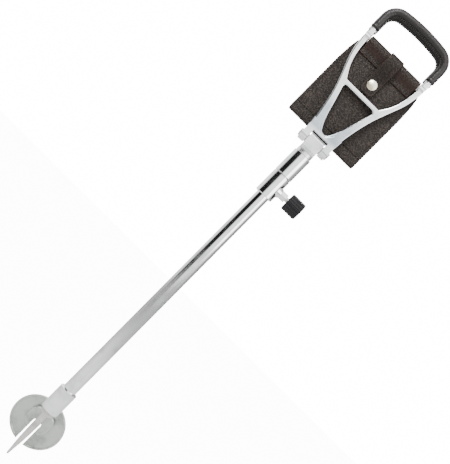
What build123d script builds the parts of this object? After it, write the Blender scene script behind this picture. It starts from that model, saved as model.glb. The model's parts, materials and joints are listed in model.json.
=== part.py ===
from build123d import *
from math import acos, cos, degrees, radians, sin
import os

os.makedirs("parts", exist_ok=True)

# Folding seat stick. Millimetres, +Z up the stick, origin at the point of the spike.
# X runs across the two handles, -Y is the front frame's side, +Y the rear frame's side.

# Lower leg: a tube with a sleeve at each end
tube_r, tube_bore_r = 11.2, 9.75
tube_low, tube_high = 96.0, 584.0
collar_r, collar_low, collar_high = 15.25, 545.5, 586.5
collar_lip = 2.5  # thickness of the collar's lip over the tube's end
foot_r, foot_low, foot_high = 15.1, 90.0, 133.0
edge_break = 0.8

# Clamp screw across the collar, along +X
clamp_z = 565.0
boss_root_r, boss_tip_r, boss_tip_x = 11.5, 7.6, 18.0
bush_across_flats, bush_length, bush_spigot_r = 13.2, 10.5, 5.5
screw_r, screw_tip_x, screw_end_x = 4.0, 9.75, 54.0
knob_r, knob_x, knob_length = 14.6, 32.0, 26.0
knob_flutes, flute_r = 20, 1.25
run_gap = 0.05  # radial running clearance of a turning or sliding fit

# Head: the telescopic stem and the hinge block
stem_r, stem_bore_r, stem_low = 9.65, 8.15, 340.0
head_sleeve_r, head_sleeve_low, head_sleeve_high = 15.4, 587.5, 630.0
neck_r, block_low, block_high = 13.8, 636.0, 661.5
block_half_x, block_half_y = 13.4, 21.5
cross_pin_r, head_pin_z, foot_pin_z = 2.0, 609.0, 119.0

# The two hinged frames
hinge_y, hinge_z, hinge_pin_r = 14.0, 653.0, 3.0
washer_thick, washer_r = 1.5, 5.2
ear_in, ear_out, ear_r = 15.0, 26.2, 7.5
pin_head_r, pin_head_thick = 4.6, 2.6
arm_depth, crown_depth = 8.0, 12.0
crown_low, crown_high = 666.5, 682.0
web_low, web_high = 747.6, 755.0
arm_top = 836.0
handle_half, handle_corner_r, handle_slope = 57.4, 22.0, 8.0
handle_top, core_r = 885.0, 4.0
grip_in_plane, grip_across = 7.0, 8.2

# Leather sling seat, hung on a bar in each frame
bar_r, bar_z = 3.2, 821.5
boss_r, boss_in, boss_out = 5.8, 52.6, 61.0  # bosses on the arms that hold the seat bar
leather, loop_r, loop_half = 2.6, 7.2, 50.5
panel_y, panel_lean, panel_end = 8.1, 2.2, 136.0
panel_half = 66.7
fold_low, fold_high, fold_half_y = 665.2, 683.0, 4.6
strap_half, strap_thick, strap_end_z = 12.3, 2.4, 758.5
strap_bend_r = loop_r + strap_thick / 2 + 0.3
snap_z, snap_cap_r, snap_dome = 774.8, 7.8, 1.9

# Spike, ground disc and rubber ferrule
spike_r, spike_top, stud_r, stud_top = 6.0, 84.0, 5.0, 110.0
foot_neck_r = 12.0
disc_pin_y, disc_pin_z, disc_pin_r = 22.0, 78.5, 2.5
disc_fold = 104.0  # turn of the disc from square on the spike to folded up
disc_r, disc_thick, disc_drop = 44.8, 2.5, 1.8
bead_width, bead_high = 3.6, 1.2
slot_half = 7.3
saddle_high = 5.5
lug_clear_y, lug_clear_z = 13.6, 83.8  # room under the lug for the saddle's bridge
lug_half, eye_r, knuckle_in, knuckle_out = 4.0, 4.8, 5.4, 10.0
ferrule_drop = 69.0  # how far below its fitted place the loose ferrule waits
ferrule_mouth, ferrule_sole, ferrule_bore_r = 45.0, -6.0, 5.3


# ---------- lower leg ----------
with BuildPart() as main_tube:
    with BuildSketch(Plane.XY.offset(tube_low)):
        Circle(tube_r)
        Circle(tube_bore_r, mode=Mode.SUBTRACT)
    extrude(amount=tube_high - tube_low)
    with BuildSketch(Plane.YZ):
        with Locations((0, clamp_z)):
            Circle(screw_r + 0.4)
    extrude(amount=tube_r + 1, mode=Mode.SUBTRACT)
    with BuildSketch(Plane.XZ):
        with Locations((0, foot_pin_z)):
            Circle(cross_pin_r)
    extrude(amount=-(tube_r + 1), mode=Mode.SUBTRACT)
main_tube.part.label = "main_tube"
export_step(main_tube.part, "parts/main_tube.step")

with BuildPart() as clamp_collar:
    with BuildSketch(Plane.XY.offset(collar_low)):
        Circle(collar_r)
    extrude(amount=collar_high - collar_low)
    chamfer(clamp_collar.edges().filter_by(GeomType.CIRCLE), edge_break)
    with BuildSketch(Plane.YZ.offset(boss_root_r)):
        with Locations((0, clamp_z)):
            Circle(boss_root_r)
    with BuildSketch(Plane.YZ.offset(boss_tip_x)):
        with Locations((0, clamp_z)):
            Circle(boss_tip_r)
    loft()
    with BuildSketch(Plane.XY.offset(collar_low)):
        Circle(tube_r)
    extrude(amount=collar_high - collar_lip - collar_low, mode=Mode.SUBTRACT)
    with BuildSketch(Plane.XY.offset(collar_high - collar_lip)):
        Circle(stem_r + 2 * run_gap)
    extrude(amount=collar_lip, mode=Mode.SUBTRACT)
    with BuildSketch(Plane.YZ):
        with Locations((0, clamp_z)):
            Circle(bush_spigot_r)
    extrude(amount=boss_tip_x + 1, mode=Mode.SUBTRACT)
clamp_collar.part.label = "clamp_collar"
export_step(clamp_collar.part, "parts/clamp_collar.step")

with BuildPart() as clamp_bush:
    with BuildSketch(Plane.YZ.offset(boss_tip_x)):
        with Locations((0, clamp_z)):
            RegularPolygon(bush_across_flats / 2, 6, major_radius=False)
    extrude(amount=bush_length)
    with BuildSketch(Plane.YZ.offset(tube_r + 0.6)):
        with Locations((0, clamp_z)):
            Circle(bush_spigot_r)
    extrude(amount=boss_tip_x - tube_r - 0.6)
    with BuildSketch(Plane.YZ):
        with Locations((0, clamp_z)):
            Circle(screw_r + run_gap)
    extrude(amount=boss_tip_x + bush_length, mode=Mode.SUBTRACT)
clamp_bush.part.label = "clamp_bush"
export_step(clamp_bush.part, "parts/clamp_bush.step")

with BuildPart() as foot_sleeve:
    with BuildSketch(Plane.XY.offset(foot_low)):
        Circle(foot_r)
        Circle(tube_r, mode=Mode.SUBTRACT)
    extrude(amount=foot_high - foot_low)
    outer_rims = foot_sleeve.edges().filter_by(GeomType.CIRCLE).group_by(SortBy.RADIUS)[-1]
    chamfer(outer_rims, edge_break)
    with BuildSketch(Plane.XZ):
        with Locations((0, foot_pin_z)):
            Circle(cross_pin_r)
    extrude(amount=-(foot_r + 1), mode=Mode.SUBTRACT)
foot_sleeve.part.label = "foot_sleeve"
export_step(foot_sleeve.part, "parts/foot_sleeve.step")

with BuildPart() as foot_plug:
    with BuildSketch(Plane.XY.offset(spike_top)):
        Circle(foot_neck_r)
    extrude(amount=foot_low - spike_top)
    with BuildSketch(Plane.XY.offset(foot_low)):
        Circle(tube_r)
    extrude(amount=tube_low - foot_low)
    with BuildSketch(Plane.XY.offset(tube_low)):
        Circle(tube_bore_r)
    extrude(amount=34)
    # hinge lug of the disc, reaching down and back from the neck
    with BuildSketch(Plane.YZ.offset(-lug_half)):
        with Locations((disc_pin_y, disc_pin_z)):
            Circle(eye_r)
        with Locations((8.5, 87.0)):
            Circle(2.8)
        make_hull()
        with Locations((disc_pin_y, disc_pin_z)):
            Circle(disc_pin_r + run_gap, mode=Mode.SUBTRACT)
        with Locations((lug_clear_y - 8, lug_clear_z - 8)):
            Rectangle(16, 16, mode=Mode.SUBTRACT)
    extrude(amount=2 * lug_half)
    with BuildSketch(Plane.XY.offset(spike_top - 6)):
        Circle(stud_r)
    extrude(amount=stud_top - spike_top + 6, mode=Mode.SUBTRACT)
    with BuildSketch(Plane.XZ.offset(4)):
        with Locations((0, foot_pin_z)):
            Circle(cross_pin_r)
    extrude(amount=-20, mode=Mode.SUBTRACT)
foot_plug.part.label = "foot_plug"
export_step(foot_plug.part, "parts/foot_plug.step")

with BuildPart() as foot_pin:
    with BuildSketch(Plane.XZ.offset(4)):
        with Locations((0, foot_pin_z)):
            Circle(cross_pin_r)
    extrude(amount=-(foot_r + 4))
foot_pin.part.label = "foot_pin"
export_step(foot_pin.part, "parts/foot_pin.step")

with BuildPart() as spike:
    with BuildSketch(Plane.XZ):
        with BuildLine():
            Line((0, stud_top), (0, 0))
            point = ThreePointArc((0, 0), (1.3, 0.55), (1.8, 1.9))
            taper = Spline(point @ 1, (3.0, 15), (4.3, 30), (5.0, 45), tangents=[(0.1, 1), (0.03, 1)])
            Polyline(taper @ 1, (spike_r, spike_top), (stud_r, spike_top), (stud_r, stud_top), (0, stud_top))
        make_face()
    revolve(axis=Axis.Z)
spike.part.label = "spike"
export_step(spike.part, "parts/spike.step")

# ---------- clamp screw and knob ----------
with BuildPart() as clamp_screw:
    with BuildSketch(Plane.YZ.offset(screw_tip_x)):
        with Locations((0, clamp_z)):
            Circle(screw_r)
    extrude(amount=screw_end_x - screw_tip_x)
    chamfer(clamp_screw.edges().filter_by(GeomType.CIRCLE), edge_break)
clamp_screw.part.label = "clamp_screw"
export_step(clamp_screw.part, "parts/clamp_screw.step")

with BuildPart() as knob:
    with BuildSketch(Plane.YZ.offset(knob_x)):
        with Locations((0, clamp_z)):
            Circle(knob_r)
            with PolarLocations(knob_r + 0.35, knob_flutes):
                Circle(flute_r, mode=Mode.SUBTRACT)
    extrude(amount=knob_length)
    with BuildSketch(Plane.XZ):
        with BuildLine():
            Polyline(
                (knob_x, clamp_z),
                (knob_x, clamp_z + knob_r - 1.4),
                (knob_x + 1.4, clamp_z + knob_r),
                (knob_x + knob_length - 2.0, clamp_z + knob_r),
                (knob_x + knob_length, clamp_z + knob_r - 2.0),
                (knob_x + knob_length, clamp_z),
                close=True,
            )
        make_face()
    revolve(axis=Axis((0, 0, clamp_z), (1, 0, 0)), mode=Mode.INTERSECT)
    with BuildSketch(Plane.YZ.offset(knob_x)):
        with Locations((0, clamp_z)):
            Circle(screw_r)
    extrude(amount=screw_end_x - knob_x, mode=Mode.SUBTRACT)
knob.part.label = "knob"
export_step(knob.part, "parts/knob.step")

# ---------- head: stem, sleeve, hinge block ----------
with BuildPart() as stem_tube:
    with BuildSketch(Plane.XY.offset(stem_low)):
        Circle(stem_r)
        Circle(stem_bore_r, mode=Mode.SUBTRACT)
    extrude(amount=head_sleeve_high - stem_low)
    with BuildSketch(Plane.XZ):
        with Locations((0, head_pin_z)):
            Circle(cross_pin_r)
    extrude(amount=-(stem_r + 1), mode=Mode.SUBTRACT)
stem_tube.part.label = "stem_tube"
export_step(stem_tube.part, "parts/stem_tube.step")

with BuildPart() as stem_plug:
    with BuildSketch(Plane.XY.offset(stem_low - 4)):
        Circle(stem_r)
    extrude(amount=4)
    chamfer(stem_plug.edges().group_by(Axis.Z)[0], edge_break)
    with BuildSketch(Plane.XY.offset(stem_low)):
        Circle(stem_bore_r)
    extrude(amount=16)
stem_plug.part.label = "stem_plug"
export_step(stem_plug.part, "parts/stem_plug.step")

with BuildPart() as head_sleeve:
    with BuildSketch(Plane.XY.offset(head_sleeve_low)):
        Circle(head_sleeve_r)
        Circle(stem_r, mode=Mode.SUBTRACT)
    extrude(amount=head_sleeve_high - head_sleeve_low)
    outer_rims = head_sleeve.edges().filter_by(GeomType.CIRCLE).group_by(SortBy.RADIUS)[-1]
    chamfer(outer_rims, edge_break)
    with BuildSketch(Plane.XZ):
        with Locations((0, head_pin_z)):
            Circle(cross_pin_r)
    extrude(amount=-(head_sleeve_r + 1), mode=Mode.SUBTRACT)
head_sleeve.part.label = "head_sleeve"
export_step(head_sleeve.part, "parts/head_sleeve.step")

with BuildPart() as head_pin:
    with BuildSketch(Plane.XZ.offset(4)):
        with Locations((0, head_pin_z)):
            Circle(cross_pin_r)
    extrude(amount=-(head_sleeve_r + 4))
head_pin.part.label = "head_pin"
export_step(head_pin.part, "parts/head_pin.step")

with BuildPart() as hinge_block:
    with BuildSketch(Plane.XY.offset(block_low)):
        Rectangle(2 * block_half_x, 2 * block_half_y)
    extrude(amount=block_high - block_low)
    long_edges = hinge_block.edges().filter_by(Axis.X)
    chamfer(long_edges.group_by(Axis.Z)[0], 4.0)
    fillet(long_edges.group_by(Axis.Z)[-1], 3.0)
    with BuildSketch(Plane.XY.offset(head_sleeve_high)):
        Circle(neck_r)
    extrude(amount=block_low - head_sleeve_high)
    with BuildSketch(Plane.XY.offset(head_sleeve_high - 34)):
        Circle(stem_bore_r)
    extrude(amount=34)
    with BuildSketch(Plane.YZ.offset(-block_half_x)):
        with Locations((-hinge_y, hinge_z), (hinge_y, hinge_z)):
            Circle(hinge_pin_r)
    extrude(amount=2 * block_half_x, mode=Mode.SUBTRACT)
    with BuildSketch(Plane.XZ.offset(4)):
        with Locations((0, head_pin_z)):
            Circle(cross_pin_r)
    extrude(amount=-20, mode=Mode.SUBTRACT)
hinge_block.part.label = "hinge_block"
export_step(hinge_block.part, "parts/hinge_block.step")

with BuildPart() as hinge_washers:
    for face_x in (block_half_x, -block_half_x - washer_thick):
        with BuildSketch(Plane.YZ.offset(face_x)):
            with Locations((-hinge_y, hinge_z), (hinge_y, hinge_z)):
                Circle(washer_r - 0.1)
                Circle(hinge_pin_r, mode=Mode.SUBTRACT)
        extrude(amount=washer_thick)
hinge_washers.part.label = "hinge_washers"
export_step(hinge_washers.part, "parts/hinge_washers.step")

for side, y in (("front", -hinge_y), ("rear", hinge_y)):
    with BuildPart() as hinge_pin:
        with BuildSketch(Plane.YZ.offset(-ear_out - 1)):
            with Locations((y, hinge_z)):
                Circle(hinge_pin_r)
        extrude(amount=2 * ear_out + 2)
        for face_x in (ear_out + 0.05, -ear_out - 0.05 - pin_head_thick):
            with BuildSketch(Plane.YZ.offset(face_x)):
                with Locations((y, hinge_z)):
                    Circle(pin_head_r)
            extrude(amount=pin_head_thick)
        chamfer(hinge_pin.faces().sort_by(Axis.X)[-1].edges(), 0.9)
        chamfer(hinge_pin.faces().sort_by(Axis.X)[0].edges(), 0.9)
    hinge_pin.part.label = f"{side}_hinge_pin"
    export_step(hinge_pin.part, f"parts/{side}_hinge_pin.step")

# ---------- the cast frames ----------
# Points of one arm's right-hand edges, (x, z), from the crown up to the grip.
arm_outer = [(26.2, 670), (28.4, 690), (36.5, 729), (48, 762), (58.2, 792), (61.8, 818), (62.2, arm_top)]
vee_edge = [(0, 672.4), (7.4, 677.8), (12.2, 687), (19.8, 710), (28.2, 739)]
vee_corner = (28.2 + 0.3 * (web_low - 739), web_low)
window_edge = [(36.2, 760.5), (40, 766.5), (45.2, 777.5), (50.6, 799), (52.2, 816), (52.2, arm_top + 4)]
window_corner = (36.2 - 0.6 * (760.5 - web_high), web_high)
frame_plane = Plane.XZ.offset(hinge_y)

# The handle's centreline: straight side, round corner, gently crowned top.
corner_run = handle_corner_r * cos(radians(handle_slope))
crown_half = handle_half - handle_corner_r * (1 - sin(radians(handle_slope)))
crown_r = crown_half / sin(radians(handle_slope))
corner_z = handle_top - corner_run - crown_r * (1 - cos(radians(handle_slope)))


def handle_line(foot_z):
    # Draws the handle's centreline in the current BuildLine, from one foot to the other.
    right = handle_half - handle_corner_r
    Line((handle_half, foot_z), (handle_half, corner_z))
    CenterArc((right, corner_z), handle_corner_r, 0, 90 - handle_slope)
    CenterArc((0, handle_top - crown_r), crown_r, 90 - handle_slope, 2 * handle_slope)
    CenterArc((-right, corner_z), handle_corner_r, 90 + handle_slope, 90 - handle_slope)
    Line((-handle_half, corner_z), (-handle_half, foot_z))


with BuildPart() as front_frame:
    with BuildSketch(frame_plane):
        with BuildLine():
            Polyline((0, crown_low), (26.2, crown_low), arm_outer[0])
            Spline(*arm_outer, tangents=[(0, 1), (0, 1)])
            Line((62.2, arm_top), (0, arm_top))
            mirror(about=Plane.YZ)
        make_face()
        with BuildSketch(mode=Mode.SUBTRACT) as vee_hole:
            with BuildLine():
                vee = Spline(*vee_edge, tangents=[(1, 0), (0.3, 1)])
                Polyline(vee @ 1, vee_corner, (0, web_low))
                mirror(about=Plane.YZ)
            make_face()
            fillet(vee_hole.vertices().group_by(Axis.Y)[-1], 4.0)
        with BuildSketch(mode=Mode.SUBTRACT) as window:
            with BuildLine():
                Polyline((0, web_high), window_corner, window_edge[0])
                Spline(*window_edge, tangents=[(0.6, 1), (0, 1)])
                Line((52.2, arm_top + 4), (0, arm_top + 4))
                mirror(about=Plane.YZ)
            make_face()
            fillet(window.vertices().group_by(Axis.Y)[0], 2.0)
    extrude(amount=arm_depth / 2, both=True)
    rims = front_frame.edges().filter_by(lambda e: abs(abs(e.center().Y + hinge_y) - arm_depth / 2) < 0.01)
    fillet(rims, 2.4)
    # crown and ears, deeper than the arms
    with BuildSketch(frame_plane):
        with BuildLine():
            Polyline((0, crown_low), (26.8, crown_low), (28.2, crown_high), (13.4, crown_high))
            Spline((13.4, crown_high), (8.6, 674.2), (0, 669.8), tangents=[(-0.4, -1), (-1, 0)])
            mirror(about=Plane.YZ)
        make_face()
    extrude(amount=crown_depth / 2, both=True)
    deep_rims = front_frame.edges().filter_by(
        lambda e: abs(abs(e.center().Y + hinge_y) - crown_depth / 2) < 0.01 and e.center().Z > crown_low + 1
    )
    fillet(deep_rims, 1.4)
    for face_x in (ear_in, -ear_out):
        with BuildSketch(Plane.YZ.offset(face_x)):
            with Locations((-hinge_y, hinge_z)):
                Circle(ear_r)
            with Locations((-hinge_y, (hinge_z + crown_low + 4) / 2)):
                Rectangle(2 * ear_r, crown_low + 4 - hinge_z)
            with Locations((-hinge_y, hinge_z)):
                Circle(hinge_pin_r + run_gap, mode=Mode.SUBTRACT)
        extrude(amount=ear_out - ear_in)
    # handle core under the leather grip
    with BuildLine(frame_plane):
        handle_line(arm_top - 5)
    with BuildSketch(Plane.XY.offset(arm_top - 5)):
        with Locations((handle_half, -hinge_y)):
            Circle(core_r)
    sweep()
    # bosses and holes for the seat bar
    for face_x in (boss_in, -boss_out):
        with BuildSketch(Plane.YZ.offset(face_x)):
            with Locations((-hinge_y, bar_z)):
                Circle(boss_r)
        extrude(amount=boss_out - boss_in)
    with BuildSketch(Plane.YZ.offset(-70)):
        with Locations((-hinge_y, bar_z)):
            Circle(bar_r)
    extrude(amount=140, mode=Mode.SUBTRACT)
front_frame.part.label = "front_frame"
export_step(front_frame.part, "parts/front_frame.step")

with BuildPart() as rear_frame:
    mirror(front_frame.part, about=Plane.XZ)
rear_frame.part.label = "rear_frame"
export_step(rear_frame.part, "parts/rear_frame.step")

with BuildPart() as front_grip:
    with BuildLine(frame_plane):
        handle_line(arm_top)
    with BuildSketch(Plane.XY.offset(arm_top)):
        with Locations((handle_half, -hinge_y)):
            Ellipse(grip_in_plane, grip_across)
            Circle(core_r, mode=Mode.SUBTRACT)
    sweep()
front_grip.part.label = "front_grip"
export_step(front_grip.part, "parts/front_grip.step")

with BuildPart() as rear_grip:
    mirror(front_grip.part, about=Plane.XZ)
rear_grip.part.label = "rear_grip"
export_step(rear_grip.part, "parts/rear_grip.step")

for side, y in (("front", -hinge_y), ("rear", hinge_y)):
    with BuildPart() as seat_bar:
        with BuildSketch(Plane.YZ.offset(-60.5)):
            with Locations((y, bar_z)):
                Circle(bar_r)
        extrude(amount=121)
    seat_bar.part.label = f"{side}_seat_bar"
    export_step(seat_bar.part, f"parts/{side}_seat_bar.step")

# ---------- leather sling seat ----------
lean = radians(panel_lean)
panel_plane = Plane(origin=(0, -panel_y, bar_z), x_dir=(1, 0, 0), z_dir=(0, -cos(lean), -sin(lean)))

with BuildPart() as front_seat:
    with BuildSketch(Plane.YZ.offset(-loop_half)):
        with Locations((-hinge_y, bar_z)):
            Circle(loop_r)
    extrude(amount=2 * loop_half)
    with BuildSketch(panel_plane):
        with BuildLine():
            Polyline((0, 0), (loop_half, 0), (loop_half, -7), (58, -7))
            Spline((58, -7), (62.8, -10.5), (65.2, -28), (panel_half, -52), tangents=[(1, 0), (0, -1)])
            Polyline((panel_half, -52), (panel_half, -panel_end), (0, -panel_end))
            mirror(about=Plane.YZ)
        make_face()
    extrude(amount=leather / 2, both=True)
    with BuildSketch(Plane.YZ.offset(-loop_half - 1)):
        with Locations((-hinge_y, bar_z)):
            Circle(bar_r + 0.35)
    extrude(amount=2 * loop_half + 2, mode=Mode.SUBTRACT)
front_seat.part.label = "front_seat"
export_step(front_seat.part, "parts/front_seat.step")

with BuildPart() as rear_seat:
    mirror(front_seat.part, about=Plane.XZ)
rear_seat.part.label = "rear_seat"
export_step(rear_seat.part, "parts/rear_seat.step")

with BuildPart() as seat_fold:
    with BuildSketch(Plane.YZ.offset(-panel_half)):
        with BuildLine():
            edge_y = fold_half_y - leather / 2
            Line((-edge_y, fold_high), (-edge_y, fold_low + fold_half_y))
            ThreePointArc(
                (-edge_y, fold_low + fold_half_y), (0, fold_low + leather / 2), (edge_y, fold_low + fold_half_y)
            )
            Line((edge_y, fold_low + fold_half_y), (edge_y, fold_high))
        trace(line_width=leather)
    extrude(amount=2 * panel_half)
seat_fold.part.label = "seat_fold"
export_step(seat_fold.part, "parts/seat_fold.step")

# ---------- closing strap and snap fastener ----------
strap_top = bar_z + strap_bend_r
strap_joint_y = 12.0  # where the anchored part of the strap ends
strap_bend_y = -12.0  # where the strap's free end begins
strap_y = -11.9  # centre of the strap where the snap holds it

with BuildPart() as strap_anchor:
    with BuildSketch(Plane.YZ.offset(-strap_half)):
        with BuildLine():
            Line((hinge_y + strap_bend_r, bar_z - 18), (hinge_y + strap_bend_r, bar_z))
            CenterArc((hinge_y, bar_z), strap_bend_r, 0, 90)
            Line((hinge_y, strap_top), (strap_joint_y, strap_top))
        trace(line_width=strap_thick)
    extrude(amount=2 * strap_half)
strap_anchor.part.label = "strap_anchor"
export_step(strap_anchor.part, "parts/strap_anchor.step")

with BuildPart() as strap_root:
    with BuildSketch(Plane.YZ.offset(-strap_half)):
        with Locations(((strap_joint_y + strap_bend_y) / 2, strap_top)):
            Rectangle(strap_joint_y - strap_bend_y - 0.4, strap_thick)
    extrude(amount=2 * strap_half)
strap_root.part.label = "strap_root"
export_step(strap_root.part, "parts/strap_root.step")

with BuildPart() as strap_tip:
    with BuildSketch(Plane.YZ.offset(-strap_half)):
        with BuildLine():
            Line((strap_bend_y, strap_top), (-hinge_y, strap_top))
            CenterArc((-hinge_y, bar_z), strap_bend_r, 90, 90)
            Line((-hinge_y - strap_bend_r, bar_z), (-hinge_y - strap_bend_r, bar_z - 4))
            Spline(
                (-hinge_y - strap_bend_r, bar_z - 4),
                (-18.2, 803),
                (strap_y, 786),
                tangents=[(0, -1), (0, -1)],
            )
            Line((strap_y, 786), (strap_y, strap_end_z))
        trace(line_width=strap_thick)
    extrude(amount=2 * strap_half)
    chamfer(strap_tip.edges().filter_by(Axis.Y).group_by(Axis.Z)[0], 5.0)
    with BuildSketch(Plane.XZ.offset(-strap_y - 4)):
        with Locations((0, snap_z)):
            Circle(2.0)
    extrude(amount=8, mode=Mode.SUBTRACT)
strap_tip.part.label = "strap_tip"
export_step(strap_tip.part, "parts/strap_tip.step")

dome_r = (snap_cap_r**2 + snap_dome**2) / (2 * snap_dome)
dome_start = degrees(acos(snap_cap_r / dome_r))
with BuildPart() as snap_cap:
    with BuildSketch(Plane.XZ):
        with BuildLine():
            dome = CenterArc((0, 0.5 + snap_dome - dome_r), dome_r, dome_start, 88 - dome_start)
            Polyline(dome @ 1, (0, (dome @ 1).Y), (0, -3.6), (1.95, -3.6), (1.95, 0), (snap_cap_r, 0), dome @ 0)
        make_face()
    revolve(axis=Axis.Z)
snap_cap.part = snap_cap.part.moved(Location((0, strap_y - strap_thick / 2, snap_z), (90, 0, 0)))
snap_cap.part.label = "snap_cap"
export_step(snap_cap.part, "parts/snap_cap.step")

with BuildPart() as snap_socket:
    with BuildSketch(Plane.XZ.offset(-strap_y - strap_thick / 2)):
        with Locations((0, snap_z)):
            Circle(5.2)
            Circle(3.1, mode=Mode.SUBTRACT)
    extrude(amount=-1.6)
snap_socket.part.label = "snap_socket"
export_step(snap_socket.part, "parts/snap_socket.step")

with BuildPart() as snap_stud:
    with BuildSketch(panel_plane.offset(leather / 2)):
        with Locations((0, snap_z - bar_z)):
            Circle(5.0)
    extrude(amount=0.7)
    with BuildSketch(panel_plane.offset(leather / 2 + 0.7)):
        with Locations((0, snap_z - bar_z)):
            Circle(2.7)
    extrude(amount=1.1)
snap_stud.part.label = "snap_stud"
export_step(snap_stud.part, "parts/snap_stud.step")

# ---------- ground disc, folded up behind the foot ----------
fold = radians(disc_fold)
disc_centre = (
    0,
    disc_pin_y - disc_pin_y * cos(fold) + disc_drop * sin(fold),
    disc_pin_z - disc_pin_y * sin(fold) - disc_drop * cos(fold),
)
disc_plane = Plane(origin=disc_centre, x_dir=(1, 0, 0), z_dir=(0, -sin(fold), cos(fold)))
disc_axis = Axis(disc_centre, (0, -sin(fold), cos(fold)))

with BuildPart() as ground_disc:
    with BuildSketch(disc_plane.offset(-disc_thick / 2)):
        Circle(disc_r)
        Circle(slot_half, mode=Mode.SUBTRACT)
        with Locations((0, -disc_r / 2 - 1)):
            Rectangle(2 * slot_half, disc_r + 2, mode=Mode.SUBTRACT)
        with Locations((0, 22.5)):
            Rectangle(10.6, 16.4, mode=Mode.SUBTRACT)
        with Locations((0, disc_pin_y)):
            Rectangle(2 * knuckle_out + 0.4, 10.0, mode=Mode.SUBTRACT)
    extrude(amount=disc_thick)
    with BuildSketch(disc_plane.offset(disc_thick / 2)):
        Circle(disc_r)
        Circle(disc_r - bead_width, mode=Mode.SUBTRACT)
        with Locations((0, -29.5)):
            Rectangle(2 * (slot_half + bead_width), 27)
        with Locations((0, -disc_r / 2 - 1)):
            Rectangle(2 * slot_half, disc_r + 2, mode=Mode.SUBTRACT)
    extrude(amount=bead_high)
    fillet(ground_disc.faces().sort_by(disc_axis)[-1].edges(), 0.9)
ground_disc.part.label = "ground_disc"
export_step(ground_disc.part, "parts/ground_disc.step")

with BuildPart() as disc_saddle:
    with BuildSketch(disc_plane.offset(disc_thick / 2)):
        with Locations((0, 6)):
            RectangleRounded(43, 40, 13)
        Circle(slot_half + 0.2, mode=Mode.SUBTRACT)
        with Locations((0, -12)):
            Rectangle(2 * slot_half + 0.4, 24, mode=Mode.SUBTRACT)
        with Locations((0, 26)):
            Rectangle(10.8, 26, mode=Mode.SUBTRACT)
    extrude(amount=saddle_high)
    fillet(disc_saddle.faces().sort_by(disc_axis)[-1].edges(), 2.0)
    for face_x in (knuckle_in, -knuckle_out):
        with BuildSketch(Plane.YZ.offset(face_x)):
            with Locations((disc_pin_y, disc_pin_z)):
                Circle(eye_r - 0.2)
        extrude(amount=knuckle_out - knuckle_in)
    with BuildSketch(Plane.YZ.offset(-20)):
        with Locations((disc_pin_y, disc_pin_z)):
            Circle(disc_pin_r)
    extrude(amount=40, mode=Mode.SUBTRACT)
disc_saddle.part.label = "disc_saddle"
export_step(disc_saddle.part, "parts/disc_saddle.step")

with BuildPart() as disc_hinge_pin:
    with BuildSketch(Plane.YZ.offset(-knuckle_out)):
        with Locations((disc_pin_y, disc_pin_z)):
            Circle(disc_pin_r)
    extrude(amount=2 * knuckle_out)
disc_hinge_pin.part.label = "disc_hinge_pin"
export_step(disc_hinge_pin.part, "parts/disc_hinge_pin.step")

# ---------- rubber ferrule, pulled off below the spike ----------
washer_seat_r, washer_high = 6.5, 1.3
with BuildPart() as ferrule:
    with BuildSketch(Plane.XZ):
        with BuildLine():
            Polyline(
                (0, ferrule_sole),
                (14.0, ferrule_sole),
                (15.5, ferrule_sole + 1.5),
                (15.5, 12.0),
                (14.0, 13.5),
                (13.5, 15.0),
                (11.6, 33.0),
                (10.0, 34.0),
                (10.0, ferrule_mouth - 1),
                (9.2, ferrule_mouth),
                (ferrule_bore_r, ferrule_mouth),
                (ferrule_bore_r, -washer_high),
                (washer_seat_r, -washer_high),
                (washer_seat_r, -2 * washer_high),
                (0, -2 * washer_high),
                close=True,
            )
        make_face()
    revolve(axis=Axis.Z)
    with BuildSketch(Plane.XY.offset(15.6)):
        with PolarLocations(14.0, 14):
            Circle(1.1)
    extrude(amount=15, mode=Mode.SUBTRACT)
ferrule.part = ferrule.part.moved(Location((0, 0, -ferrule_drop)))
ferrule.part.label = "ferrule"
export_step(ferrule.part, "parts/ferrule.step")

with BuildPart() as ferrule_washer:
    with BuildSketch(Plane.XY.offset(-2 * washer_high - ferrule_drop)):
        Circle(washer_seat_r)
    extrude(amount=washer_high)
ferrule_washer.part.label = "ferrule_washer"
export_step(ferrule_washer.part, "parts/ferrule_washer.step")
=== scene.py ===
import json
import math

import bmesh
import bpy
from mathutils import Matrix, Vector, noise

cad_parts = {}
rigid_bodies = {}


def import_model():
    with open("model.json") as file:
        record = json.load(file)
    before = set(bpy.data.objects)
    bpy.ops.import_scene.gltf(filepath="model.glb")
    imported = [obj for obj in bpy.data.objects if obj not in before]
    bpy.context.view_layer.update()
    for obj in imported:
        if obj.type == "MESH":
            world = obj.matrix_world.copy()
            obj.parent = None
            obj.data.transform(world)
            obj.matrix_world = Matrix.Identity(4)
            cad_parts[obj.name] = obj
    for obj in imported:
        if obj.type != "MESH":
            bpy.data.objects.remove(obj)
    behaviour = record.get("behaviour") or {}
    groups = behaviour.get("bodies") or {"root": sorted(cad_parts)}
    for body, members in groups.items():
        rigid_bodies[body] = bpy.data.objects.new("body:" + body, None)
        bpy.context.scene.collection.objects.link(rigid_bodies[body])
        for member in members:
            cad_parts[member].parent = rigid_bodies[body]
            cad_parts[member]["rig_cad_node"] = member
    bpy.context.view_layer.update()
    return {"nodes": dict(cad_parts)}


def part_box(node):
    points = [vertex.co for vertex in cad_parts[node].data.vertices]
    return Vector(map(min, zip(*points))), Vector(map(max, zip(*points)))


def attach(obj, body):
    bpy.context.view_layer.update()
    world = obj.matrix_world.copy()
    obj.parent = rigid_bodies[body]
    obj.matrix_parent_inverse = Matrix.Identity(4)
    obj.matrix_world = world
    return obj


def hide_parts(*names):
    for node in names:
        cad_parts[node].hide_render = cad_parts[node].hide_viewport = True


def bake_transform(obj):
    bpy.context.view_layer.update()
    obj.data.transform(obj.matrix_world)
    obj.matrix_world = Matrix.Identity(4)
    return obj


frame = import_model()
nodes = frame["nodes"]
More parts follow.
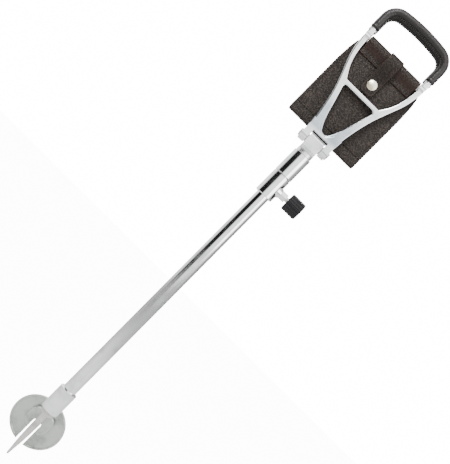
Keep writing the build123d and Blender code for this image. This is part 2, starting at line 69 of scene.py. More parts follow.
mm = 0.001


class Sock:
    # A shader socket that takes part in Python sums.
    def __init__(self, paint, socket):
        self.paint, self.socket = paint, socket

    def math(self, operation, *terms):
        return self.paint.node("ShaderNodeMath", {"operation": operation}, terms)

    def __add__(self, other):
        return self.math("ADD", self, other)

    def __radd__(self, other):
        return self.math("ADD", other, self)

    def __sub__(self, other):
        return self.math("SUBTRACT", self, other)

    def __rsub__(self, other):
        return self.math("SUBTRACT", other, self)

    def __mul__(self, other):
        return self.math("MULTIPLY", self, other)

    def __rmul__(self, other):
        return self.math("MULTIPLY", other, self)

    def smooth(self, low, high):
        # 0 below low, 1 above high, and an eased ramp between.
        settings = {"interpolation_type": "SMOOTHSTEP"}
        return self.paint.node("ShaderNodeMapRange", settings, (self, low, high, 0.0, 1.0))


class Paint:
    # One material or world node tree with the calls that fill it.
    def __init__(self, tree):
        self.tree = tree

    def node(self, kind, settings=None, inputs=(), out=0):
        made = self.tree.nodes.new(kind)
        for key, value in (settings or {}).items():
            setattr(made, key, value)
        pairs = inputs.items() if isinstance(inputs, dict) else enumerate(inputs)
        for key, value in pairs:
            if isinstance(value, Sock):
                self.tree.links.new(value.socket, made.inputs[key])
            elif value is not None:
                made.inputs[key].default_value = value
        return Sock(self, made.outputs[out])

    def place(self):
        return self.node("ShaderNodeTexCoord", out="Object")

    def part(self, vector, axis):
        return self.node("ShaderNodeSeparateXYZ", None, (vector,), out=axis)

    def stretch(self, vector, x, y, z):
        return self.node("ShaderNodeVectorMath", {"operation": "MULTIPLY"}, (vector, (x, y, z)))

    def noise(self, vector, scale, detail):
        inputs = {"Vector": vector, "Scale": scale, "Detail": detail, "Roughness": 0.55}
        return self.node("ShaderNodeTexNoise", None, inputs)

    def cells(self, vector, scale):
        return self.node("ShaderNodeTexVoronoi", {"feature": "SMOOTH_F1"}, {"Vector": vector, "Scale": scale})

    def blend(self, share, low, high):
        inputs = {0: share, 6: low, 7: high}
        return self.node("ShaderNodeMix", {"data_type": "RGBA"}, inputs, out=2)

    def bump(self, height, strength, distance):
        return self.node("ShaderNodeBump", None, {"Height": height, "Strength": strength, "Distance": distance})

    def named(self, name):
        return self.node("ShaderNodeAttribute", {"attribute_name": name}, out="Fac")


def surface(name):
    material = bpy.data.materials.new(name)
    material.use_nodes = True
    paint = Paint(material.node_tree)
    return material, paint, material.node_tree.nodes["Principled BSDF"]


def feed(paint, shader, **values):
    names = {"color": "Base Color", "rough": "Roughness", "metal": "Metallic", "normal": "Normal"}
    for key, value in values.items():
        socket = shader.inputs[names[key]]
        if isinstance(value, Sock):
            paint.tree.links.new(value.socket, socket)
        else:
            socket.default_value = value


def rgb(r, g, b):
    return (r, g, b, 1.0)


# Metals.
metalLook = {
    "chrome": {"tone": rgb(0.86, 0.87, 0.88), "dull": rgb(0.66, 0.67, 0.68),
               "rough": 0.10, "spread": 0.10, "brush": 0.03},
    # castMetal's crown colour is painted shade: a darker blue-grey on the frames just above the ears, where
    # their faces slope away from the light.
    "castMetal": {"tone": rgb(0.86, 0.87, 0.88), "dull": rgb(0.64, 0.67, 0.70),
                  "rough": 0.20, "spread": 0.14, "brush": 0.10, "crown": rgb(0.30, 0.36, 0.41)},
    "blockMetal": {"tone": rgb(0.84, 0.84, 0.85), "dull": rgb(0.60, 0.62, 0.64),
                   "rough": 0.30, "spread": 0.12, "brush": 0.14},
    "turnedSteel": {"tone": rgb(0.60, 0.59, 0.57), "dull": rgb(0.36, 0.34, 0.32),
                    "rough": 0.24, "spread": 0.18, "brush": 0.20},
    "zincPlate": {"tone": rgb(0.50, 0.53, 0.49), "dull": rgb(0.34, 0.37, 0.34),
                  "rough": 0.36, "spread": 0.20, "brush": 0.18},
    "snapMetal": {"tone": rgb(0.90, 0.85, 0.70), "dull": rgb(0.66, 0.58, 0.42),
                  "rough": 0.26, "spread": 0.18, "brush": 0.08},
}


def metal(name):
    look = metalLook[name]
    material, paint, shader = surface(name)
    place = paint.place()
    cloud = paint.noise(place, 38.0, 4.0)
    fine = paint.noise(place, 620.0, 2.0)
    lines = paint.noise(paint.stretch(place, 1.0, 1.0, 22.0), 140.0, 3.0)
    smudge = cloud.smooth(0.46, 0.74)
    tone = paint.blend(smudge, look["tone"], look["dull"])
    # Painted shade: the frames turn a mottled darker blue-grey from just above the ears up to about z 0.745,
    # fading out upwards. The ears below stay bright.
    if "crown" in look:
        height = paint.part(place, "Z")
        low = (1.0 - height.smooth(0.690, 0.745)) * height.smooth(0.664, 0.674)
        tone = paint.blend(low * (0.45 + cloud * 0.55), tone, look["crown"])
    feed(paint, shader, color=tone, metal=1.0)
    feed(paint, shader, rough=look["rough"] + smudge * look["spread"] + fine.smooth(0.60, 0.80) * 0.05)
    height = lines * 0.5 + fine * 0.5
    feed(paint, shader, normal=paint.bump(height, look["brush"], 0.00006))
    return material


# Leather.
leatherLook = {
    # The high colours are painted highlight: pebble crowns are coloured lighter than the deep valleys, as light
    # specks on the grain.
    "seatLeather": {"deep": rgb(0.0040, 0.0024, 0.0018), "high": rgb(0.062, 0.046, 0.036),
                    "wornAndSheen": rgb(0.085, 0.052, 0.038), "burnt": rgb(0.022, 0.0075, 0.0045),
                    "grain": 620.0, "depth": 0.00050, "bump": 1.0, "rough": 0.38, "gloss": 0.24},
    "gripLeather": {"deep": rgb(0.0042, 0.0030, 0.0026), "high": rgb(0.014, 0.0095, 0.0080),
                    "wornAndSheen": rgb(0.045, 0.030, 0.024), "burnt": rgb(0.012, 0.006, 0.004),
                    "grain": 900.0, "depth": 0.00018, "bump": 0.5, "rough": 0.30, "gloss": 0.42},
    "strapLeather": {"deep": rgb(0.0055, 0.0035, 0.0028), "high": rgb(0.040, 0.029, 0.023),
                     "wornAndSheen": rgb(0.075, 0.048, 0.036), "burnt": rgb(0.020, 0.008, 0.005),
                     "grain": 560.0, "depth": 0.00034, "bump": 0.6, "rough": 0.40, "gloss": 0.20},
}


def leather(name):
    look = leatherLook[name]
    material, paint, shader = surface(name)
    place = paint.place()
    warp = paint.noise(place, 160.0, 2.0)
    bent = paint.node("ShaderNodeVectorMath", {"operation": "ADD"},
                      (place, paint.stretch(warp, 0.0015, 0.0015, 0.0015)))
    pebble = paint.cells(bent, look["grain"])
    pores = paint.noise(bent, look["grain"] * 4.0, 2.0)
    patches = paint.noise(place, 26.0, 5.0)
    crown = 1.0 - pebble.smooth(0.10, 0.62)
    edge, burnish = paint.named("edge"), paint.named("burnish")
    # Painted highlight: pebble crowns get the lighter high colour, more strongly in random patches, as light
    # specks on the grain.
    tone = paint.blend(crown * (0.42 + patches.smooth(0.30, 0.72) * 0.50), look["deep"], look["high"])
    # The edge mark holds real wear at edges and ends, and on the grips it also holds a painted highlight along
    # their outward side.
    wornAndSheen = edge * 0.45 + patches.smooth(0.62, 0.80) * 0.12
    tone = paint.blend(wornAndSheen, tone, look["wornAndSheen"])
    feed(paint, shader, color=paint.blend(burnish * 0.8, tone, look["burnt"]))
    rough = look["rough"] + (1.0 - crown) * 0.20 - edge * 0.08 + patches * 0.06
    feed(paint, shader, rough=rough - burnish * 0.16)
    height = (crown + pores * 0.16) * (1.0 - burnish * 0.7)
    feed(paint, shader, normal=paint.bump(height, look["bump"], look["depth"]))
    shader.inputs["Specular IOR Level"].default_value = look["gloss"]
    return material


# Plastic, rubber, thread.
plainLook = {
    "blackPlastic": {"tone": rgb(0.006, 0.006, 0.007), "pale": rgb(0.022, 0.022, 0.024),
                     "rough": 0.36, "grain": 900.0, "depth": 0.00007},
    "blackRubber": {"tone": rgb(0.012, 0.012, 0.012), "pale": rgb(0.045, 0.044, 0.043),
                    "rough": 0.66, "grain": 500.0, "depth": 0.00014},
    "nylon": {"tone": rgb(0.62, 0.60, 0.54), "pale": rgb(0.72, 0.70, 0.65),
              "rough": 0.45, "grain": 700.0, "depth": 0.00004},
    "thread": {"tone": rgb(0.006, 0.004, 0.003), "pale": rgb(0.030, 0.020, 0.015),
               "rough": 0.70, "grain": 2600.0, "depth": 0.00012},
}


def plain(name):
    look = plainLook[name]
    material, paint, shader = surface(name)
    place = paint.place()
    grain = paint.noise(place, look["grain"], 3.0)
    dust = paint.noise(place, 60.0, 5.0).smooth(0.52, 0.78)
    feed(paint, shader, color=paint.blend(dust * 0.5 + grain * 0.2, look["tone"], look["pale"]))
    feed(paint, shader, rough=look["rough"] + dust * 0.14, normal=paint.bump(grain, 0.5, look["depth"]))
    shader.inputs["Specular IOR Level"].default_value = 0.22
    return material


finish = {name: metal(name) for name in metalLook}
finish.update({name: leather(name) for name in leatherLook})
finish.update({name: plain(name) for name in plainLook})
print("materials", len(finish))

cadFinish = {
    "chrome": ["main_tube", "clamp_collar", "foot_sleeve", "head_sleeve"],
    "castMetal": ["front_frame", "rear_frame"],
    "blockMetal": ["hinge_block", "clamp_bush"],
    "turnedSteel": ["foot_plug", "foot_pin", "spike", "stem_tube", "stem_plug", "head_pin", "front_hinge_pin",
                    "rear_hinge_pin", "front_seat_bar", "rear_seat_bar", "clamp_screw", "disc_hinge_pin",
                    "ferrule_washer"],
    "zincPlate": ["ground_disc", "disc_saddle"],
    "snapMetal": ["snap_cap", "snap_socket", "snap_stud"],
    "blackPlastic": ["knob"],
    "blackRubber": ["ferrule"],
    "nylon": ["hinge_washers"],
}
for name, members in cadFinish.items():
    for member in members:
        node = nodes[member]
        if not node.material_slots:
            node.data.materials.append(finish[name])
        for slot in node.material_slots:
            slot.link = "OBJECT"
            slot.material = finish[name]
print("metal nodes dressed")


# Mesh helpers.
def resample(points, step):
    # Points about step apart along a polyline. Its corners stay: easeCorners rounds them.
    total = [0.0]
    for a, b in zip(points, points[1:]):
        total.append(total[-1] + (b - a).length)
    count = max(2, round(total[-1] / step))
    out, k = [], 0
    for i in range(count + 1):
        want = total[-1] * i / count
        while k < len(total) - 2 and total[k + 1] < want:
            k += 1
        span = total[k + 1] - total[k]
        out.append(points[k].lerp(points[k + 1], (want - total[k]) / span if span else 0.0))
    return out


def easeCorners(points, rounds):
    for _ in range(rounds):
        inner = [(a + 2 * b + c) / 4 for a, b, c in zip(points, points[1:], points[2:])]
        points = [points[0], *inner, points[-1]]
    return points


def yz(y, z):
    return Vector((0, y, z))


def arcPoints(centreY, centreZ, radius, startDeg, turnDeg, count):
    angles = [math.radians(startDeg + turnDeg * i / count) for i in range(count + 1)]
    return [yz(centreY + radius * math.cos(a), centreZ + radius * math.sin(a)) for a in angles]


def meshPiece(name, points, faces, material, marks=None):
    mesh = bpy.data.meshes.new(name)
    mesh.from_pydata([tuple(p) for p in points], [], faces)
    for label, values in (marks or {}).items():
        mesh.attributes.new(label, "FLOAT", "POINT").data.foreach_set("value", values)
    mesh.shade_smooth()
    mesh.materials.append(material)
    piece = bpy.data.objects.new(name, mesh)
    bpy.context.scene.collection.objects.link(piece)
    return piece


def ringLoft(rings):
    # Quads between equal rings of points, with both ends closed across the ring.
    size = len(rings[0])
    points = [p for ring in rings for p in ring]
    faces = []
    for i in range(len(rings) - 1):
        for j in range(size):
            k = (j + 1) % size
            faces.append((i * size + j, i * size + k, (i + 1) * size + k, (i + 1) * size + j))
    last = (len(rings) - 1) * size
    for j in range(size // 2):
        a, b, c, d = j, j + 1, (size - j - 1) % size, (size - j) % size
        ring = [a, b, c, d] if j else [a, b, c]
        if b == c:
            ring = [a, b, d]
        faces.append(tuple(reversed(ring)))
        faces.append(tuple(last + r for r in ring))
    return points, faces


def strip(name, path, halfAt, thick, material, across, swell=None, burnish=None, plainEnds=()):
    # A thick sheet along path in the YZ plane. halfAt(share of its length, point) gives its half width.
    rings, wearAndSheen, shine, area = [], [], [], 0.0
    run = [0.0]
    for a, b in zip(path, path[1:]):
        run.append(run[-1] + (b - a).length)
    for i, centre in enumerate(path):
        before, after = path[max(0, i - 1)], path[min(len(path) - 1, i + 1)]
        along = (after - before).normalized()
        normal = Vector((1, 0, 0)).cross(along)
        wide = halfAt(run[i] / run[-1], centre)
        if i:
            area += (run[i] - run[i - 1]) * 2 * wide
        ends = [run[i] if "start" not in plainEnds else 1.0,
                run[-1] - run[i] if "end" not in plainEnds else 1.0]
        endGap = min(ends) + 0.00015
        lip = min(1.0, endGap / (thick / 2))
        ring, marks = [], []
        for j in range(across + 1):
            share = math.sin(math.pi / 2 * (2 * j / across - 1))
            x = share * wide
            rim = max(0.0, (abs(x) - (wide - thick / 2)) / (thick / 2))
            height = thick / 2 * math.sqrt(max(0.0, 1 - rim * rim)) * math.sqrt(max(0.03, 1 - (1 - lip) ** 2))
            shift = swell(x, centre) if swell else 0.0
            ring.append((centre + Vector((x, 0, 0)) + normal * shift, normal * height))
            marks.append(max(0.0, 1 - (wide - abs(x)) / 0.0022) * 0.8 + (0.8 if lip < 1 else 0.0))
        top = [p + h for p, h in ring]
        bottom = [p - h for p, h in ring][1:-1]
        rings.append(top + bottom[::-1])
        wearAndSheen += [min(1.0, m) for m in marks + marks[1:-1][::-1]]
        shine += [burnish(centre) if burnish else 0.0] * len(rings[-1])
    points, faces = ringLoft(rings)
    piece = meshPiece(name, points, faces, material, {"edge": wearAndSheen, "burnish": shine})
    return piece, run[-1], area


stitchSizes = {"pitch": 3.1 * mm, "length": 2.2 * mm, "radius": 0.42 * mm, "seed": 7}


def stitchTree():
    # Geometry Nodes that lays one stitch at each step of every line it is given.
    tree = bpy.data.node_groups.new("stitchRows", "GeometryNodeTree")
    face = tree.interface
    face.new_socket("Geometry", in_out="INPUT", socket_type="NodeSocketGeometry")
    for label, key in (("Pitch", "pitch"), ("Stitch Length", "length"), ("Thread Radius", "radius")):
        face.new_socket(label, in_out="INPUT", socket_type="NodeSocketFloat").default_value = stitchSizes[key]
    face.new_socket("Seed", in_out="INPUT", socket_type="NodeSocketInt").default_value = stitchSizes["seed"]
    face.new_socket("Material", in_out="INPUT", socket_type="NodeSocketMaterial")
    face.new_socket("Geometry", in_out="OUTPUT", socket_type="NodeSocketGeometry")

    def add(kind, links, out=0, **settings):
        made = tree.nodes.new(kind)
        for key, value in settings.items():
            setattr(made, key, value)
        for key, value in links.items():
            if isinstance(value, bpy.types.NodeSocket):
                tree.links.new(value, made.inputs[key])
            else:
                made.inputs[key].default_value = value
        return made.outputs[out]

    source = tree.nodes.new("NodeGroupInput").outputs
    lines = add("GeometryNodeMeshToCurve", {"Mesh": source["Geometry"]})
    even = add("GeometryNodeResampleCurve", {"Curve": lines, "Length": source["Pitch"]}, mode="LENGTH")
    tangent = add("GeometryNodeInputTangent", {})
    turn = add("FunctionNodeAlignRotationToVector", {"Vector": tangent}, axis="Z")
    ball = add("GeometryNodeMeshUVSphere", {"Segments": 8, "Rings": 6, "Radius": 1.0})
    halfLength = add("ShaderNodeMath", {0: source["Stitch Length"], 1: 0.5}, operation="MULTIPLY")
    radius = source["Thread Radius"]
    thin = add("ShaderNodeCombineXYZ", {0: radius, 1: radius, 2: halfLength})
    vary = add("FunctionNodeRandomValue", {2: 0.9, 3: 1.1, "Seed": source["Seed"]}, out=1, data_type="FLOAT")
    size = add("ShaderNodeVectorMath", {0: thin, "Scale": vary}, operation="SCALE")
    laid = add("GeometryNodeInstanceOnPoints",
               {"Points": even, "Instance": ball, "Rotation": turn, "Scale": size})
    whole = add("GeometryNodeRealizeInstances", {"Geometry": laid})
    dressed = add("GeometryNodeSetMaterial", {"Geometry": whole, "Material": source["Material"]})
    tree.links.new(dressed, tree.nodes.new("NodeGroupOutput").inputs["Geometry"])
    return tree, {s.name: s.identifier for s in face.items_tree if s.in_out == "INPUT"}


stitchGroup, stitchKeys = stitchTree()


def stitches(name, rows):
    # rows are lists of points; the finished mesh holds all their stitches.
    points, edges = [], []
    for row in rows:
        edges += [(len(points) + i, len(points) + i + 1) for i in range(len(row) - 1)]
        points += [tuple(p) for p in row]
    mesh = bpy.data.meshes.new(name + "Lines")
    mesh.from_pydata(points, edges, [])
    holder = bpy.data.objects.new(name + "Lines", mesh)
    bpy.context.scene.collection.objects.link(holder)
    modifier = holder.modifiers.new("stitches", "NODES")
    modifier.node_group = stitchGroup
    modifier[stitchKeys["Material"]] = finish["thread"]
    bpy.context.view_layer.update()
    made = bpy.data.meshes.new_from_object(holder.evaluated_get(bpy.context.evaluated_depsgraph_get()))
    holder.modifiers.remove(modifier)
    bpy.data.objects.remove(holder)
    made.name = name
    made.shade_smooth()
    piece = bpy.data.objects.new(name, made)
    bpy.context.scene.collection.objects.link(piece)
    return piece


def nearNoise(x, y, z, size):
    return noise.noise(Vector((x, y, z)) / size)


# Seat.
seatSize = {"thick": 2.6 * mm, "loopRadius": 5.6 * mm, "loopHalf": 50.5 * mm, "half": 66.4 * mm,
            "flapEnd": 0.7985, "sag": 0.45 * mm, "lean": math.radians(2.2),
            "frontY": -0.0095, "hemZ": 0.7405, "hemSeamZ": 0.7362, "seamInset": 4.6 * mm,
            "flapRows": (0.8052, 0.8003)}
bar = sum(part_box("front_seat_bar"), Vector()) / 2
barY, barZ = bar.y, bar.z
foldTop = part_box("seat_fold")[1].z


def panelHalf(z):
    # Half width of the hanging panel by height: a shoulder under the loop, then nearly straight sides.
    drop = (barZ - z) / mm
    knots = [(-99, 50.5), (6.0, 50.5), (7.6, 57.0), (9.5, 60.6), (14, 63.0),
             (28, 65.2), (52, 66.4), (999, 66.4)]
    for (a, wa), (b, wb) in zip(knots, knots[1:]):
        if drop <= b:
            return (wa + (wb - wa) * (drop - a) / (b - a)) * mm
    return knots[-1][1] * mm


def seatPath(sign):
    # Middle line of one half of the sling: stitched flap, round the bar, and down to the fold.
    y0, r = abs(barY), seatSize["loopRadius"]
    arc = arcPoints(-y0, barZ, r, 180, -180, 18)
    flap = [yz(-0.0104, seatSize["flapEnd"]), yz(-0.0108, 0.8030), yz(-0.0122, 0.8078),
            yz(-0.0158, 0.8130), yz(-0.0190, 0.8175)]
    drop = barZ - foldTop - 0.0004
    end = yz(arc[-1].y + math.tan(seatSize["lean"]) * drop, barZ - drop)
    path = flap + arc + [arc[-1].lerp(end, k / 20) for k in range(1, 21)]
    path = easeCorners(resample(path, 1.0 * mm), 4)
    return [yz(p.y * sign, p.z) for p in path]


def seatHalf(name, sign, node):
    hemSide = -sign

    def onFront(p):
        return p.y * sign < seatSize["frontY"]

    def halfAt(share, p):
        onFlap = share < 0.23
        width = seatSize["loopHalf"] if onFlap else panelHalf(p.z)
        return width - (0.0009 if onFlap and p.z < barZ - 0.010 else 0.0)

    def swell(x, p):
        depth = min(1.0, max(0.0, (0.812 - p.z) / 0.03))
        calm = min(1.0, max(0.0, (p.z - foldTop) / 0.02))
        wave = nearNoise(x, 3.1 * sign, p.z, 0.045) + 0.4 * nearNoise(x, 1.7, p.z * 0.6, 0.016)
        inside = max(0.0, min(1.0, (0.037 - abs(x)) / 0.006))
        aboveHem = p.z - seatSize["hemZ"]
        band = 0.9 * mm * math.exp(-max(0.0, aboveHem) / 0.010) * (aboveHem > 0) * inside
        band -= 0.45 * mm * math.exp(-((p.z - 0.7395) / 0.0012) ** 2) * inside
        crease = 0.0
        if onFront(p) and p.z < 0.8165:
            crease = 0.38 * mm * math.sin((p.z - 0.8060) / 0.0013 + x * 25)
            crease *= math.exp(-((p.z - 0.8110) / 0.0034) ** 2)
        return wave * seatSize["sag"] * depth * calm + hemSide * (0.0 if onFront(p) else band) + crease

    def burnish(p):
        return math.exp(-((p.z - 0.8125) / 0.0055) ** 2) if onFront(p) else 0.0

    path = seatPath(sign)
    piece, length, area = strip(name, path, halfAt, seatSize["thick"], finish["seatLeather"], 72, swell,
                                burnish, ("end",))
    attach(piece, node)
    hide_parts(node)
    flapOut = seatSize["thick"] / 2 + 0.0003

    def onFlapRow(z, xs):
        y = -0.0104 - flapOut - max(0.0, z - 0.8030) * 0.28
        return [Vector((x * mm, y * sign, z)) for x in xs]

    def onPanel(x, z):
        slope = math.tan(seatSize["lean"])
        y = -0.0084 + slope * (barZ - z) - seatSize["thick"] / 2 - 0.0001
        return Vector((x, y * sign, z))

    upper, lower = seatSize["flapRows"]
    rows = [onFlapRow(upper, range(-47, 48, 4)), onFlapRow(lower, range(-40, -11, 4)),
            onFlapRow(lower, range(13, 38, 4))]
    for edge in (-1, 1):
        rows.append([onPanel(edge * (panelHalf(z * mm) - seatSize["seamInset"]), z * mm)
                     for z in range(797, 686, -3)])
    rows.append([onPanel(x * mm, seatSize["hemSeamZ"]) for x in range(-33, 34, 3)])
    sewn = stitches(name + "Stitches", rows)
    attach(sewn, node)


seatHalf("frontSeat", 1, "front_seat")
seatHalf("rearSeat", -1, "rear_seat")
print("seat halves")

# Fold at the bottom of the sling.
foldSize = {"thick": 2.6 * mm, "half": 66.4 * mm, "corner": 4.5 * mm}
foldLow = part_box("seat_fold")[0].z
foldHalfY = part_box("seat_fold")[1].y - foldSize["thick"] / 2


def foldHalf(share, p):
    up = min(1.0, (p.z - foldLow) / foldSize["corner"])
    return foldSize["half"] - foldSize["corner"] * (1 - math.sqrt(max(0.0, 1 - (1 - up) ** 2))) * 0.75


seatEndY = seatPath(1)[-1].y
turnZ = foldLow + foldHalfY + foldSize["thick"] / 2
foldPath = [yz(seatEndY, foldTop - 0.0003), yz(-foldHalfY, foldTop - 0.006), yz(-foldHalfY, turnZ)]
foldPath += arcPoints(0, turnZ, foldHalfY, 180, 180, 14)[1:]
foldPath += [yz(foldHalfY, foldTop - 0.006), yz(-seatEndY, foldTop - 0.0003)]
foldPath = easeCorners(resample(foldPath, 0.8 * mm), 2)
seatFold, foldLength, foldArea = strip("seatFold", foldPath, foldHalf, foldSize["thick"],
                                       finish["seatLeather"], 72, plainEnds=("start", "end"))
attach(seatFold, "seat_fold")
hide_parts("seat_fold")
print("seat fold")

# Closing strap.
strapSize = {"half": 12.1 * mm, "thick": 2.3 * mm, "gap": 8.7 * mm, "tip": 0.7586, "taper": 6.5 * mm,
             "narrow": 4.6 * mm, "seamInset": 2.4 * mm, "rear": 0.8036}
strapTop = barZ + strapSize["gap"]


def strapHalf(share, p):
    if p.y > 0 or p.z > 0.78:
        return strapSize["half"]
    up = (p.z - strapSize["tip"]) / strapSize["taper"]
    return strapSize["half"] - strapSize["narrow"] * (1 - min(1.0, max(0.0, up))) ** 1.3


def strapRows(path, side):
    # Two stitch rows along the strap, on the face that side picks.
    rows = []
    for edge in (-1, 1):
        row = []
        for before, p, after in zip(path, path[1:], path[2:]):
            if strapSize["tip"] < p.z:
                normal = Vector((1, 0, 0)).cross((after - before).normalized())
                lift = (strapSize["thick"] / 2 + 0.0001) * side
                inset = strapHalf(0, p) - strapSize["seamInset"]
                row.append(p + normal * lift + Vector((edge * inset, 0, 0)))
        rows.append(row)
    return rows


frontLine = [yz(-0.0002, strapTop), yz(barY, strapTop)]
frontLine += arcPoints(barY, barZ, strapSize["gap"], 90, 90, 12)[1:]
frontLine += [yz(-0.0227, 0.8170), yz(-0.0215, 0.8100), yz(-0.0188, 0.8030), yz(-0.0150, 0.7945),
              yz(-0.0126, 0.7880), yz(-0.0119, 0.7820), yz(-0.0119, strapSize["tip"])]
frontLine = easeCorners(resample(frontLine, 1.0 * mm), 10)
rearLine = [yz(0.0002, strapTop), yz(-barY, strapTop)]
rearLine += arcPoints(-barY, barZ, strapSize["gap"], 90, -90, 12)[1:]
rearLine.append(yz(-barY + strapSize["gap"], strapSize["rear"]))
rearLine = easeCorners(resample(rearLine, 1.0 * mm), 4)
strapParts = {
    "strapFront": (frontLine, 1, "front_seat_bar", ("strap_root", "strap_tip"),
                   ((-0.006, 0.8302), (-0.0126, 0.8214)), ["strap_tip"]),
    "strapRear": (rearLine, -1, "rear_seat_bar", ("rear_frame", "strap_root"),
                  ((0.0155, 0.8302), (0.0085, 0.8302)), ["strap_anchor", "strap_root"]),
}
for name, (line, side, rests, bodies, (low, high), gone) in strapParts.items():
    piece, length, area = strip(name, line, strapHalf, strapSize["thick"], finish["strapLeather"], 28)
    sewn = stitches(name + "Stitches", strapRows(line, side))
    for part in (piece, sewn):
        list(bodies)
        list(low)
        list(high)
        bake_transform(part)
    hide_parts(*gone)
print("strap")

# Grips.
gripSize = {"inPlane": 7.0 * mm, "across": 8.1 * mm, "foot": 0.8362, "corner": 22 * mm,
            "slope": math.radians(8), "half": 57.4 * mm, "top": 0.885, "round": 48,
            "step": 1.1 * mm, "wrinkle": 0.32 * mm, "seamHalf": 1.7 * mm}


def handleLine():
    # The handle's middle line from the right foot over the crown to the left foot, in its own plane.
    corner, slope, half = gripSize["corner"], gripSize["slope"], gripSize["half"]
    crownHalf = half - corner * (1 - math.sin(slope))
    crownRadius = crownHalf / math.sin(slope)
    cornerZ = gripSize["top"] - corner * math.cos(slope) - crownRadius * (1 - math.cos(slope))
    points = [Vector((half, 0, gripSize["foot"])), Vector((half, 0, cornerZ))]
    points += [Vector((half - corner + corner * math.cos(a), 0, cornerZ + corner * math.sin(a)))
               for a in [(math.pi / 2 - slope) * k / 14 for k in range(1, 15)]]
    points += [Vector((crownRadius * math.cos(a), 0, gripSize["top"] - crownRadius + crownRadius * math.sin(a)))
               for a in [math.pi / 2 - slope + 2 * slope * k / 20 for k in range(1, 11)]]
    mirrored = [Vector((-p.x, 0, p.z)) for p in reversed(points[:-1])]
    return resample(points + mirrored, gripSize["step"])


def grip(name, sign, node, body):
    line = easeCorners(handleLine(), 2)
    rings, wearAndSheen, seam = [], [], []
    for i, p in enumerate(line):
        before, after = line[max(0, i - 1)], line[min(len(line) - 1, i + 1)]
        along = (after - before).normalized()
        outward = Vector((0, 1, 0)).cross(along).normalized()
        if outward.dot(p - Vector((0, 0, 0.85))) < 0:
            outward = -outward
        end = min(i, len(line) - 1 - i) * gripSize["step"]
        lip = math.sqrt(max(0.06, 1 - max(0.0, 1 - (end + 0.0003) / (2.6 * mm)) ** 2))
        bead = 0.35 * mm * math.exp(-((end - 3.2 * mm) / (1.3 * mm)) ** 2)
        groove = 0.35 * mm * math.exp(-((end - 6.0 * mm) / (0.7 * mm)) ** 2)
        inCorner = math.exp(-((abs(p.x) - 51 * mm) / (8 * mm)) ** 2)
        inCorner *= math.exp(-((p.z - 0.876) / (12 * mm)) ** 2)
        ring = []
        for j in range(gripSize["round"]):
            a = 2 * math.pi * j / gripSize["round"]
            inside = 0.5 - 0.5 * math.cos(a)
            pleat = math.sin(i * 1.25 + 0.6 * math.sin(i * 0.37)) * inCorner * inside ** 2
            soft = nearNoise(p.x + 0.3 * math.cos(a) * mm, sign * 0.7 + math.sin(a) * 0.01, p.z, 0.014)
            swell = bead - groove + gripSize["wrinkle"] * pleat + 0.14 * mm * soft
            crease = 0.38 * mm * math.exp(-((a - math.pi) / 0.10) ** 2)
            u = (gripSize["inPlane"] * lip + swell - crease) * math.cos(a)
            v = (gripSize["across"] * lip + swell) * math.sin(a)
            ring.append(p + outward * u + Vector((0, v, 0)))
            # The ends of the grip are marked as real wear. The outward side is marked towards the lighter
            # colour as a painted highlight.
            wearAndSheen.append(min(1.0, 0.5 * (1 - lip) + 0.25 * max(0.0, math.cos(a)) * (0.5 + soft)))
        rings.append([Vector((q.x, q.y + sign * barY, q.z)) for q in ring])
        if 5 < i < len(line) - 6:
            inner = p - outward * (gripSize["inPlane"] - 0.05 * mm)
            seam.append([Vector((0, sign * barY + w * gripSize["seamHalf"], 0)) + inner for w in (-1, 1)])
    points, faces = ringLoft(rings)
    piece = meshPiece(name, points, faces, finish["gripLeather"], {"edge": wearAndSheen})
    sewn = stitches(name + "Stitches", [[s[0] for s in seam], [s[1] for s in seam]])
    for part in (piece, sewn):
        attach(part, body)
    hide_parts(node)


grip("frontGrip", 1, "front_grip", "front_frame")
grip("rearGrip", -1, "rear_grip", "rear_frame")
print("grips")

# Normals.
for piece in [o for o in bpy.context.scene.objects if o.type == "MESH" and "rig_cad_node" not in o]:
    work = bmesh.new()
    work.from_mesh(piece.data)
    bmesh.ops.recalc_face_normals(work, faces=work.faces)
    work.to_mesh(piece.data)
    work.free()
print("normals")

# Floor, light and camera.
studio = {"floorZ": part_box("ferrule")[0].z - 0.0005, "floorTone": rgb(0.92, 0.92, 0.92),
          "roll": math.radians(44.8), "centre": Vector((-0.0015, 0, 0.466)), "distance": 1.5,
          "height": 0.696, "glow": 14.0}
floorMesh = bpy.data.meshes.new("floor")
floorCorners = [(x, y, studio["floorZ"]) for x, y in ((-6, -6), (6, -6), (6, 6), (-6, 6))]
floorMesh.from_pydata(floorCorners, [], [(0, 1, 2, 3)])
floor = bpy.data.objects.new("floor", floorMesh)
bpy.context.scene.collection.objects.link(floor)
floorPaint, paint, shader = surface("floorPaint")
speck = paint.noise(paint.place(), 9.0, 4.0)
feed(paint, shader, color=paint.blend(speck * 0.06, studio["floorTone"], rgb(0.86, 0.86, 0.87)), rough=0.9)
glow = paint.node("ShaderNodeEmission", None, {"Color": rgb(1, 1, 1), "Strength": studio["glow"]})
seenFloor = paint.node("ShaderNodeLightPath", out="Is Camera Ray")
lit = Sock(paint, shader.outputs[0])
mixed = paint.node("ShaderNodeMixShader", None, (seenFloor * 0.96, lit, glow))
paint.tree.links.new(mixed.socket, paint.tree.nodes["Material Output"].inputs["Surface"])
floor.data.materials.append(floorPaint)

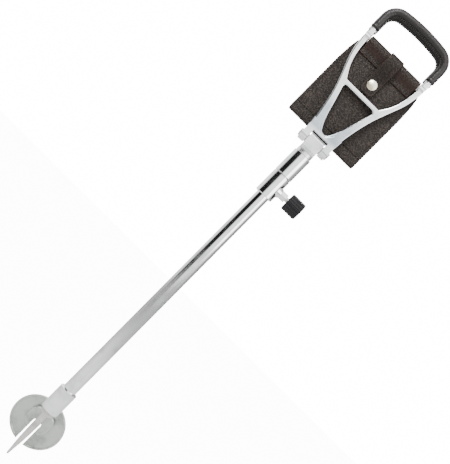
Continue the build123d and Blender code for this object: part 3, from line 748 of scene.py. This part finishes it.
skyPower = {"seen": 16.0, "mirror": 2.6, "soft": 0.55}
world = bpy.data.worlds.new("studio")
bpy.context.scene.world = world
world.use_nodes = True
sky = Paint(world.node_tree)
background = world.node_tree.nodes["Background"]
toward = sky.node("ShaderNodeTexCoord", out="Generated")
side, depth = sky.part(toward, "X"), sky.part(toward, "Y")
turn = sky.node("ShaderNodeMath", {"operation": "ARCTAN2"}, (0.0 - side, 0.0 - depth))
# turn is 0 towards the camera and grows to its left: a dark flag stands there, with a soft grey far side.
rise = sky.part(toward, "Z")
flag = turn.smooth(0.10, 0.50) * (1.0 - turn.smooth(1.25, 1.80))
far = (0.0 - turn).smooth(0.6, 2.0)
low = (0.0 - rise).smooth(0.12, 0.55)
mirror = (1.0 - flag * 0.995) * (1.0 - far * 0.80) * (1.0 - low * 0.80) * (0.55 + rise.smooth(-0.3, 0.5) * 0.6)
seen, glossy = (sky.node("ShaderNodeLightPath", out=name) for name in ("Is Camera Ray", "Is Glossy Ray"))
power = seen * skyPower["seen"] + glossy * (mirror * skyPower["mirror"])
power = power + (1.0 - seen) * (1.0 - glossy) * skyPower["soft"]
sky.tree.links.new(power.socket, background.inputs["Strength"])
background.inputs["Color"].default_value = rgb(1, 1, 1)

lamps = {"key": {"at": (-0.9, -1.3, 1.9), "size": 0.9, "power": 60},
         "fill": {"at": (1.4, -0.9, 0.9), "size": 1.0, "power": 14},
         "back": {"at": (0.5, 1.2, 1.6), "size": 0.9, "power": 20}}
for name, lamp in lamps.items():
    data = bpy.data.lights.new(name, "AREA")
    data.size, data.energy = lamp["size"], lamp["power"]
    light = bpy.data.objects.new(name, data)
    light.location = lamp["at"]
    aim = studio["centre"] + Vector((0, 0, 0.2)) - light.location
    light.rotation_euler = aim.to_track_quat("-Z", "Y").to_euler()
    bpy.context.scene.collection.objects.link(light)

camera = bpy.data.objects.new("camera", bpy.data.cameras.new("camera"))
bpy.context.scene.collection.objects.link(camera)
bpy.context.scene.camera = camera
camera.data.lens = camera.data.sensor_width / 2 / (studio["height"] / 2 / studio["distance"])
right = Vector((math.cos(studio["roll"]), 0, math.sin(studio["roll"])))
up = Vector((-math.sin(studio["roll"]), 0, math.cos(studio["roll"])))
back = Vector((0, -1, 0))
place = studio["centre"] + back * studio["distance"]
camera.matrix_world = Matrix([[right[i], up[i], back[i], place[i]] for i in range(3)] + [[0, 0, 0, 1]])
print("studio")
